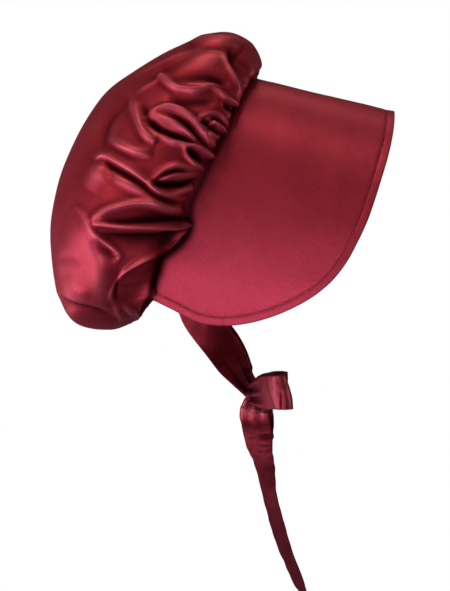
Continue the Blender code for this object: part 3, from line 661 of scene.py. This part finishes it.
def painted_relief_light(lift, flat, columns, rows):
    """Painted shade and painted highlight from how far each place of a grid stands out: 0 black painted
    shade deep in a crease, 0.5 even, 1 painted highlight on a crest.
    """
    order = np.lexsort((flat[:, 0], flat[:, 1]))
    grid = lift[order].reshape(rows + 1, columns + 1)
    painted_light_and_marks = np.clip(grid / CREASE_DEPTH, -1, 0.0)
    smooth = grid.copy()
    for done in range(1, LARGE_SMOOTHING + 1):
        smooth[:, 1:-1] = (smooth[:, :-2] + 2 * smooth[:, 1:-1] + smooth[:, 2:]) / 4
        smooth[1:-1] = (smooth[:-2] + 2 * smooth[1:-1] + smooth[2:]) / 4
        if done == SMALL_SMOOTHING:
            painted_light_and_marks = painted_light_and_marks + (grid - smooth) / SMALL_RELIEF
    painted_light_and_marks = painted_light_and_marks + (grid - smooth) / LARGE_RELIEF + 0.1
    found = np.empty(lift.size)
    found[order] = painted_light_and_marks.ravel()
    return np.clip(0.5 + 0.5 * np.tanh(found), 0, 1)


# Meshes


def finished_mesh(name, bm):
    mesh = bpy.data.meshes.new(name)
    bm.to_mesh(mesh)
    bm.free()
    return mesh


def grid_mesh(name, cells, place, flip=False, merge=0.0):
    """A mesh of a grid of (columns, rows). place gives (places, painted shade, highlight and marks) of its
    points u, v from 0 to 1.
    """
    columns, rows = cells
    bm = bmesh.new()
    bm.loops.layers.uv.new("cloth")
    bmesh.ops.create_grid(bm, x_segments=columns, y_segments=rows, size=0.5, calc_uvs=True)
    flat = np.array([v.co[:] for v in bm.verts])[:, :2] + 0.5
    # Each point keeps a value of painted shade and highlight, and on the brim also its darker lines, for the
    # material
    layer = bm.verts.layers.float.new("painted_light_and_marks")
    for vertex, co, painted_light_and_marks in zip(bm.verts, *place(flat[:, 0], flat[:, 1])):
        vertex.co = co
        vertex[layer] = painted_light_and_marks
    if merge:
        bmesh.ops.remove_doubles(bm, verts=bm.verts[:], dist=merge)
    if flip:
        bmesh.ops.reverse_faces(bm, faces=bm.faces[:])
    return finished_mesh(name, bm)


def add_object(name, data):
    made = bpy.data.objects.new(name, data)
    bpy.context.collection.objects.link(made)
    return made


def add_piece(name, mesh, material):
    """An object that rides on the bonnet's one body."""
    piece = add_object(name, mesh)
    mesh.materials.append(material)
    mesh.shade_smooth()
    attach(piece, "root")
    return piece


def give_wall(piece, wall, edge=0.0):
    """Thickens a sheet inwards, and rounds its rim where edge is given."""
    solid = piece.modifiers.new("Wall", "SOLIDIFY")
    solid.thickness = wall
    solid.offset = -1
    solid.use_even_offset = False
    if edge:
        bevel = piece.modifiers.new("Edge", "BEVEL")
        bevel.width = edge
        bevel.segments = 3
        bevel.limit_method = "ANGLE"
        bevel.angle_limit = math.radians(50)


# Shader values that take part in Python expressions


class Value:
    """A socket with the arithmetic that the materials here use."""

    def __init__(self, maker, socket):
        self.maker = maker
        self.socket = socket

    def maths(self, operation, a, b):
        return self.maker.node("ShaderNodeMath", {"operation": operation}, {0: a, 1: b})

    def clamped(self):
        """The same value, kept from 0 to 1 by the Math node that gives it."""
        self.socket.node.use_clamp = True
        return self

    def __add__(self, other):
        return self.maths("ADD", self, other)

    __radd__ = __add__

    def __mul__(self, other):
        return self.maths("MULTIPLY", self, other)

    __rmul__ = __mul__

    def __sub__(self, other):
        return self.maths("SUBTRACT", self, other)

    def __rsub__(self, other):
        return self.maths("SUBTRACT", other, self)

    def __pow__(self, other):
        return self.maths("POWER", self, other)


class Maker:
    """Adds nodes to one tree."""

    def __init__(self, tree):
        self.tree = tree

    def node(self, kind, settings=None, inputs=None, output=0):
        made = self.tree.nodes.new(kind)
        for key, value in (settings or {}).items():
            setattr(made, key, value)
        self.fill(made, inputs or {})
        return Value(self, made.outputs[output]) if made.outputs else None

    def fill(self, node, inputs):
        for key, value in inputs.items():
            if isinstance(value, Value):
                self.tree.links.new(value.socket, node.inputs[key])
            else:
                node.inputs[key].default_value = value

    def mix(self, factor, a, b):
        """A colour between a and b."""
        return self.node("ShaderNodeMix", {"data_type": "RGBA"}, {0: factor, 6: a, 7: b}, 2)


class Look(Maker):
    """Adds nodes to one new material."""

    def __init__(self, name):
        self.material = bpy.data.materials.new(name)
        self.material.use_nodes = True
        super().__init__(self.material.node_tree)

    def shade(self, inputs):
        self.fill(self.tree.nodes["Principled BSDF"], inputs)


def satin(name, colour, roughness=0.43, metallic=0.60, sheen=0.03, weave=0.10, mottle=0.12):
    """Satin: colour that varies a little, a fine weave along the cloth and a broad soft gloss, with painted
    shade and painted highlight from the points' attribute.
    """
    look = Look(name)
    place = look.node("ShaderNodeTexCoord", output="Object")
    flat = look.node("ShaderNodeUVMap", {"uv_map": "cloth"})

    def noise(vector, scale, detail, **more):
        inputs = {"Vector": vector, "Scale": scale, "Detail": detail, **more}
        return look.node("ShaderNodeTexNoise", {}, inputs)

    cloud = noise(place, 38.0, 3.0, Roughness=0.6)
    grain = noise(place, 1500.0, 2.0)
    fleck = noise(place, 720.0, 1.0)
    thread = look.node("ShaderNodeMapping", {}, {"Vector": flat, "Scale": (300.0, 900.0, 1.0)})
    threads = noise(thread, 1.0, 1.0)
    dark = tuple(c * (1 - 2.2 * mottle) for c in colour) + (1.0,)
    light = tuple(min(c * (1 + 2.2 * mottle), 1) for c in colour) + (1.0,)
    # Painted shade: the nearly black colour of the deepest creases and gaps
    deep = tuple(c * 0.05 for c in colour) + (1.0,)
    red, green, blue = colour
    # Painted highlight: a lighter, pinker colour for crests
    crest = (red * 1.6, green * 1.9 + red * 0.13, blue * 1.9 + red * 0.15, 1.0)
    painted_light_and_marks = look.node("ShaderNodeAttribute", {"attribute_name": "painted_light_and_marks"}, output="Fac")
    # How much painted shade and painted highlight each place gets, from the attribute on its points
    below = (1.0 - painted_light_and_marks * 2.0).clamped() ** 1.3
    above = (painted_light_and_marks * 2.0 - 1.0).clamped()
    even = look.mix(cloud * 0.5 + grain * 0.3 + fleck * 0.9 - 0.35, dark, light)
    relief = threads * 0.6 + grain * 0.4
    look.shade({
        "Base Color": look.mix(above, look.mix(below, even, deep), crest),
        # Painted shade is also rougher and fully metallic, so that it stays dark
        "Roughness": roughness - 0.06 + 0.12 * cloud + 0.3 * below,
        "Normal": look.node("ShaderNodeBump", {}, {"Strength": weave, "Distance": 0.0003, "Height": relief}),
        "Metallic": metallic + (1 - metallic) * below,
        "Sheen Weight": sheen,
        "Sheen Roughness": 0.45,
        "Sheen Tint": (1.0, 0.30, 0.45, 1.0),
        "Specular IOR Level": 0.45,
        "Specular Tint": (1.0, 0.58, 0.66, 1.0),
    })
    return look.material


# Pieces


def brim_at(u, v):
    """(places, painted shadow and darker lines) on the brim's outer face: u runs round it, v from the seam
    to the edge.
    """
    settings = bpy.context.scene.bonnet_brim
    t = np.abs(2 * u - 1)
    side = np.where(u >= 0.5, 1.0, -1.0)
    reach = 1 - (1 - v) ** BRIM_ROWS_CLOSER
    seam = brim_line(BRIM_SEAM, t)
    edge = brim_line(BRIM_EDGE, t)
    at = seam + (edge - seam) * reach[:, None]
    flat = np.stack([at[:, 0], np.interp(at[:, 1], TURNS, GIRTHS)], -1)
    from_edge = distance_to_line(flat, EDGE_FLAT[::4])[0]
    from_stitches = from_edge - settings.stitch_inset
    groove = -STITCH_GROOVE * bell(from_stitches, GROOVE_WIDTH)
    roll = EDGE_RAISED * smooth_step(1 - from_edge / settings.stitch_inset)
    signed = flat * np.stack([np.ones_like(side), side], -1)
    swell = 0.16 * MM * waves(signed, 11, 42 * MM) + 0.05 * MM * waves(signed, 12, 14 * MM)
    pucker = 0.10 * MM * waves(signed, 13, 5 * MM) * bell(from_stitches, 5 * MM)
    lift = groove + roll + swell * smooth_step(from_edge / (10 * MM)) + pucker
    places = brim_place(at[:, 0], side * at[:, 1], -lift)
    # Darker along the outer edge, along the stitch line, and a dark joint line where the turned edge is
    # joined
    rim = 0.5 * bell(from_edge, 0.9 * MM)
    line = 0.3 * bell(from_stitches, MM)
    seen = seen_from_near_side(places)
    joint = 0.4 * bell(seen[:, 0] - EDGE_JOINT, 0.9) * smooth_step((seen[:, 1] - EDGE_JOINT_TOP) / 4)
    joint = joint * smooth_step(4 - from_edge / (1.5 * MM))
    # The gap's painted shadow and these darker lines lower the value from even
    return places, 0.5 * (1 - np.clip(seam_shade_at(places) + rim + line + joint, 0, 1))


class BONNET_OT_brim(bpy.types.Operator):
    """Makes the brim: one stiff sheet with a turned edge and the groove of its topstitching"""

    bl_idname = "bonnet.brim"
    bl_label = "Brim"

    def execute(self, context):
        settings = context.scene.bonnet_brim
        material = satin("brim_satin_look", settings.colour, roughness=0.42, metallic=0.60, weave=0.12)
        brim = add_piece("brim_cloth", grid_mesh("brim_cloth", CLOTH_CELLS["brim"], brim_at), material)
        give_wall(brim, settings.wall, settings.edge_roll)
        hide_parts("brim")
        return {"FINISHED"}


class BONNET_OT_stitches(bpy.types.Operator):
    """Sews the row of stitches inside the brim's edge"""

    bl_idname = "bonnet.stitches"
    bl_label = "Topstitching"

    def execute(self, context):
        settings = context.scene.bonnet_brim
        whole = np.vstack([EDGE_FLAT[::-1] * [1, -1], EDGE_FLAT[1:]])
        run = unit(np.gradient(whole, axis=0))
        inner = whole + np.stack([run[:, 1], -run[:, 0]], -1) * -settings.stitch_inset
        lengths = lengths_along(inner)
        count = int(lengths[-1] / settings.stitch_length)
        marks = (np.arange(count) + 0.5) * lengths[-1] / count
        bm = bmesh.new()
        for mark in marks[3:-3]:
            ends = []
            for step in (-0.36, 0.36):
                s = mark + step * settings.stitch_length
                forward = np.interp(s, lengths, inner[:, 0])
                girth = np.interp(s, lengths, inner[:, 1])
                turn = math.copysign(float(np.interp(abs(girth), GIRTHS, TURNS)), girth)
                ends.append(Vector(brim_place(np.array(forward), np.array(turn), 0.28 * MM)))
            way = ends[1] - ends[0]
            made = bmesh.ops.create_icosphere(bm, subdivisions=1, radius=0.5)["verts"]
            size = Vector((0.42 * MM, 0.42 * MM, way.length * 1.15))
            bmesh.ops.scale(bm, vec=size, verts=made)
            bmesh.ops.rotate(bm, cent=(0, 0, 0), matrix=way.to_track_quat("Z", "Y").to_matrix(), verts=made)
            bmesh.ops.translate(bm, vec=(ends[0] + ends[1]) / 2, verts=made)
        colour = tuple(c * 0.75 for c in settings.colour)
        material = satin("thread_look", colour, roughness=0.5, metallic=0.1, sheen=0.1, weave=0.05)
        stitches = add_piece("brim_stitches", finished_mesh("brim_stitches", bm), material)
        return {"FINISHED"}


class BONNET_OT_crown(bpy.types.Operator):
    """Makes the crown: one bag of thin satin with its folds and gathers"""

    bl_idname = "bonnet.crown"
    bl_label = "Crown"

    def execute(self, context):
        settings = context.scene.bonnet_crown
        last = len(CROWN_HOOPS) + 1
        cells = CLOTH_CELLS["crown"]
        table = np.linspace(-math.pi, math.pi, 721)
        spread = table - settings.right_detail * (1 + np.cos(table))

        def place(u, v):
            angle = np.interp((2 * u - 1) * math.pi, spread, table)
            places, lift = crown_place(angle, last * v ** CROWN_ROWS_CLOSER, settings)
            # Painted shade in the creases and painted highlight on the crests, from the relief
            painted_light_and_marks = painted_relief_light(lift, np.stack([u, v], -1), *cells)
            # Below SHADED_PUFFS_TOP the gap's painted shadow also darkens the crown's puffs
            low = smooth_step((seen_from_near_side(places)[..., 1] - SHADED_PUFFS_TOP) / 8)
            return places, painted_light_and_marks * (1 - low * seam_shade_at(places))

        material = satin("crown_satin_look", settings.colour)
        crown = add_piece("crown_cloth", grid_mesh("crown_cloth", cells, place, True, MERGE), material)
        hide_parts("crown")

        def roll(u, v):
            angle = CASING_START + u * 2 * (math.pi - CASING_START)
            angle = np.where(angle > math.pi, angle - 2 * math.pi, angle)
            centre, outward = sewn_edge(angle)
            run = sewn_edge(angle + 0.004)[0] - sewn_edge(angle - 0.004)[0]
            across = unit(np.cross(run, outward))
            swing = 2 * math.pi * v
            gather = np.sin(u * 2 * math.pi * CASING_GATHERS + 2 * np.sin(9 * u))
            radius = settings.casing * (1 + 0.22 * gather)
            around = outward * np.cos(swing)[:, None] * 0.7 + across * np.sin(swing)[:, None]
            # Painted shade between the gathers and painted highlight on them
            return centre + around * radius[:, None], np.clip(0.42 + 0.25 * gather, 0, 1)

        mesh = grid_mesh("nape_casing", CLOTH_CELLS["casing"], roll, merge=MERGE)
        casing = add_piece("nape_casing", mesh, material)
        return {"FINISHED"}


def ribbon_piece(name, node, stations, length, shades, held):
    """A ribbon through stations of (centre, across, width), with lengthwise pleats where it is drawn in."""
    settings = bpy.context.scene.bonnet_ribbon
    centres, ways, widths = (np.array(column) for column in zip(*stations))
    seed = sum(map(ord, node.split("_")[0]))

    def place(u, v):
        centre = along(centres, v)
        step = 0.004
        run = unit(along(centres, np.minimum(v + step, 1)) - along(centres, np.maximum(v - step, 0)))
        across = along(ways, v)
        across = unit(across - run * (across * run).sum(-1, keepdims=True))
        face = np.cross(run, across)
        width = along(widths[:, None], v)[:, 0]
        drawn = np.clip(1 - width / RIBBON_WIDTH, 0, 1)
        off = u - 0.5
        pleat = np.cos(2 * math.pi * PLEATS * off) * PLEAT_HEIGHT * np.sqrt(drawn)
        belly = 1.1 * MM * (0.25 - off * off) * 4 * (1 - drawn)
        spot = np.stack([off * RIBBON_WIDTH, v * length], -1)
        ripple = 0.45 * MM * waves(spot * [0.5, 1], seed, 26 * MM)
        ripple = ripple + 0.15 * MM * waves(spot, seed + 1, 9 * MM)
        crease = np.maximum(waves(spot * [0.35, 1], seed + 2, 17 * MM), 0) ** 2
        lift = pleat + belly + ripple * (1.6 if held == "hung" else 1) - 0.9 * MM * crease
        # Painted shade and painted highlight along the ribbon from shades, lighter on its ripples and pleats
        # and darker in its creases
        shade = np.interp(v, [at for at, _ in shades], [painted_light_and_marks for _, painted_light_and_marks in shades])
        painted_light_and_marks = shade * (1 + 0.5 * np.tanh((pleat * 0.6 + 1.6 * ripple - 1.2 * MM * crease) / MM))
        return centre + across * (off * width)[:, None] + face * lift[:, None], np.clip(painted_light_and_marks, 0, 1)

    ribbon = add_piece(name, grid_mesh(name, CLOTH_CELLS["ribbon"], place), ribbon_look())
    give_wall(ribbon, settings.wall)
    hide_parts(node)


def ribbon_look():
    """The ribbons' one material, made when the first of them is."""
    found = bpy.data.materials.get("ribbon_satin_look")
    colour = bpy.context.scene.bonnet_ribbon.colour
    return found or satin("ribbon_satin_look", colour, roughness=0.42, metallic=0.60, weave=0.15)


def mirrored_centre(point, side):
    """A table's point of (side, back, up) in metres, on the right or the left."""
    return np.array((-side * point.side, point.back, point.up)) * MM


class BONNET_OT_ties(bpy.types.Operator):
    """Makes the two ties, from inside the brim down to the knot"""

    bl_idname = "bonnet.ties"
    bl_label = "Ties"

    def execute(self, context):
        half = RIBBON_WIDTH / 2 * math.sqrt(0.5)
        for name, side in SIDES:
            stations = []
            for point in TIE_ON_BRIM:
                forward, down = point.forward * MM, point.down * MM
                centre = brim_place(np.array(forward), side * turn_at(down), TIE_INSIDE)
                front = brim_place(np.array(forward + half), side * turn_at(down - half), TIE_INSIDE)
                stations.append((centre, unit(front - centre), RIBBON_WIDTH))
            stations += [(mirrored_centre(p, side), np.array(TIE_ACROSS), p.width * MM) for p in TIE]
            ribbon_piece("tie_ribbon_" + name, "tie_" + name, stations, TIE_LENGTH, TIE_SHADES,
                         held="hung")
        return {"FINISHED"}


class BONNET_OT_bow(bpy.types.Operator):
    """Makes the knot and the two loops of the bow"""

    bl_idname = "bonnet.bow"
    bl_label = "Bow"

    def execute(self, context):
        lean = np.array((0, -LOOP_LEAN, -1.0))
        for name, side in SIDES:
            stations = [(mirrored_centre(p, side), lean, p.width * MM) for p in LOOP]
            ribbon_piece("bow_ribbon_" + name, "bow_loop_" + name, stations, LOOP_LENGTH, LOOP_SHADES,
                         held="folded")

        def wrap(u, v):
            swing = 2 * math.pi * u
            off = 2 * v - 1
            pleat = np.cos(3 * swing + 0.8)
            puff = (1 - 0.30 * np.abs(off) ** 3) * (1 + 0.05 * np.cos(3 * math.pi * off + np.sin(swing)))
            radius = KNOT_RADIUS * puff * (1 + 0.06 * pleat + 0.03 * np.cos(5 * swing))
            # Painted shade: darker towards both ends and in the hollows between its pleats
            painted_light_and_marks = 0.35 - 0.3 * np.abs(off) ** 2 + 0.1 * pleat
            return np.stack([
                KNOT_CENTRE.x + KNOT_HALF_LENGTH * off,
                KNOT_CENTRE.y + radius * np.cos(swing),
                KNOT_CENTRE.z + radius * np.sin(swing),
            ], -1), np.clip(painted_light_and_marks, 0, 1)

        mesh = grid_mesh("knot_wrap", CLOTH_CELLS["knot"], wrap, merge=MERGE)
        knot = add_piece("knot_wrap", mesh, ribbon_look())
        give_wall(knot, KNOT_WALL, KNOT_EDGE)
        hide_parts("bow_knot")
        return {"FINISHED"}


class BONNET_OT_tails(bpy.types.Operator):
    """Makes the two hanging ends of the ribbon"""

    bl_idname = "bonnet.tails"
    bl_label = "Hanging ends"

    def execute(self, context):
        for name, side in SIDES:
            stations = []
            for i, p in enumerate(TAIL):
                turn = math.radians(p.turn)
                across = np.array((-math.sin(turn), -math.cos(turn), 0))
                face = np.array((-math.cos(turn), math.sin(turn), 0))
                drop = float(smooth_step(i / (len(TAIL) - 1)))
                centre = np.array((0, p.back, p.up)) * MM
                centre = centre + side * face * (TAIL_APART - TAIL_CLOSER * drop + p.bulge * MM)
                if side < 0:
                    centre = centre - across * LEFT_TAIL_ASIDE * drop
                stations.append((centre, across, p.width * MM))
            ribbon_piece("tail_ribbon_" + name, "tail_" + name, stations, TAIL_LENGTH, TAIL_SHADES,
                         held="hung")
        return {"FINISHED"}


# Lamps: place from the camera's aim and size in metres, power in watts
LightSpec = namedtuple("LightSpec", "name place size power colour")
LIGHTS = rows_of(LightSpec, [
    ("low", (-2.0, 0.60, -0.95), 0.9, 10, (1.0, 0.98, 1.22)),
    ("camera_side", (-2.2, 0.05, -0.15), 0.9, 2.5, (1.0, 0.96, 1.05)),
    ("left_low", (-0.45, 1.90, -0.80), 2.2, 35, (1.0, 1.04, 1.20)),
    ("left_far_low", (1.3, 1.6, -0.70), 1.0, 5, (1.0, 0.70, 0.80)),
    ("left_high", (-1.4, 1.3, 1.1), 0.8, 8, (1.0, 0.76, 0.55)),
    ("top", (-0.5, 0.25, 2.2), 1.1, 9, (1.0, 0.90, 0.78)),
    ("top_back", (-0.6, 0.9, 2.05), 1.2, 3, (1.0, 0.88, 0.74)),
    ("far_top", (1.0, -0.2, 1.9), 1.0, 3, (1.0, 0.84, 0.72)),
    ("high_camera", (-1.8, 0.7, 1.2), 1.5, 1.5, (1.0, 0.84, 0.76)),
    ("face_side", (0.3, -2.2, 0.1), 1.2, 8, (1.0, 0.92, 0.90)),
])


def look_back(thing, aim, away):
    """Sets a lamp or camera away from aim, turned to it."""
    thing.location = aim + away
    thing.rotation_mode = "QUATERNION"
    thing.rotation_quaternion = (-away).to_track_quat("-Z", "Y")


class BONNET_OT_stage(bpy.types.Operator):
    """Sets the floor, the lights and the camera"""

    bl_idname = "bonnet.stage"
    bl_label = "Stage"

    def execute(self, context):
        settings = context.scene.bonnet_stage
        bm = bmesh.new()
        bmesh.ops.create_circle(bm, cap_ends=True, segments=96, radius=FLOOR_RADIUS)
        bmesh.ops.translate(bm, vec=(0, 0, FLOOR_UP), verts=bm.verts[:])
        floor = add_object("floor", finished_mesh("floor", bm))
        look = Look("floor_look")
        look.shade({
            "Base Color": (0.86, 0.85, 0.84, 1),
            "Roughness": 0.8,
            "Emission Color": (1.0, 0.98, 1.0, 1),
            "Emission Strength": settings.floor_glow,
        })
        floor.data.materials.append(look.material)
        floor.visible_diffuse = False
        floor.visible_glossy = False

        world = bpy.data.worlds.new("studio")
        context.scene.world = world
        world.use_nodes = True
        world.node_tree.nodes.clear()
        air = Maker(world.node_tree)
        seen = air.node("ShaderNodeBackground", {}, {"Color": (1.0, 1.0, 1.0, 1), "Strength": 1.0})
        soft = air.node("ShaderNodeBackground", {}, {"Color": (1.0, 0.80, 0.72, 1), "Strength": 0.08})
        by_camera = air.node("ShaderNodeLightPath", output="Is Camera Ray")
        both = air.node("ShaderNodeMixShader", {}, {0: by_camera, 1: soft, 2: seen})
        air.node("ShaderNodeOutputWorld", {}, {"Surface": both})

        aim = Vector((0, SIDE_VIEW_AIM[0], SIDE_VIEW_AIM[1]))
        for spec in LIGHTS:
            light = bpy.data.lights.new(spec.name, "AREA")
            light.shape = "DISK"
            light.size = spec.size
            light.energy = spec.power
            light.color = spec.colour
            look_back(add_object(spec.name, light), aim, Vector(spec.place))

        camera = bpy.data.cameras.new("camera")
        camera.sensor_fit = "AUTO"
        camera.sensor_width = SENSOR
        camera.lens = SENSOR * settings.camera_distance / settings.frame_height
        camera.clip_end = 50
        view = add_object("camera", camera)
        a, e = math.radians(settings.camera_azimuth), math.radians(settings.camera_elevation)
        back = Vector((math.sin(a) * math.cos(e), -math.cos(a) * math.cos(e), math.sin(e)))
        look_back(view, aim, back * settings.camera_distance)
        context.scene.camera = view
        context.scene.view_settings.view_transform = "Standard"
        return {"FINISHED"}


class BONNET_PT_panel(bpy.types.Panel):
    """Lists the bonnet's pieces"""

    bl_idname = "BONNET_PT_panel"
    bl_label = "Bonnet"
    bl_space_type = "VIEW_3D"
    bl_region_type = "UI"
    bl_category = "Bonnet"

    def draw(self, context):
        for operator in OPERATORS:
            self.layout.operator(operator.bl_idname)
        for group in GROUPS:
            settings = getattr(context.scene, group)
            for key in settings.bl_rna.properties.keys()[2:]:
                self.layout.prop(settings, key)


OPERATORS = (
    BONNET_OT_brim,
    BONNET_OT_stitches,
    BONNET_OT_crown,
    BONNET_OT_ties,
    BONNET_OT_bow,
    BONNET_OT_tails,
    BONNET_OT_stage,
)
GROUPS = {
    "bonnet_brim": BrimSettings,
    "bonnet_crown": CrownSettings,
    "bonnet_ribbon": RibbonSettings,
    "bonnet_stage": StageSettings,
}


def register():
    for key, group in GROUPS.items():
        bpy.utils.register_class(group)
        setattr(bpy.types.Scene, key, bpy.props.PointerProperty(type=group))
    for made in OPERATORS + (BONNET_PT_panel,):
        bpy.utils.register_class(made)


def unregister():
    for made in reversed(OPERATORS + (BONNET_PT_panel,)):
        bpy.utils.unregister_class(made)
    for key, group in GROUPS.items():
        delattr(bpy.types.Scene, key)
        bpy.utils.unregister_class(group)


def main():
    register()
    for name in ("brim", "stitches", "crown", "ties", "bow", "tails", "stage"):
        getattr(bpy.ops.bonnet, name)()


if __name__ == "__main__":
    main()
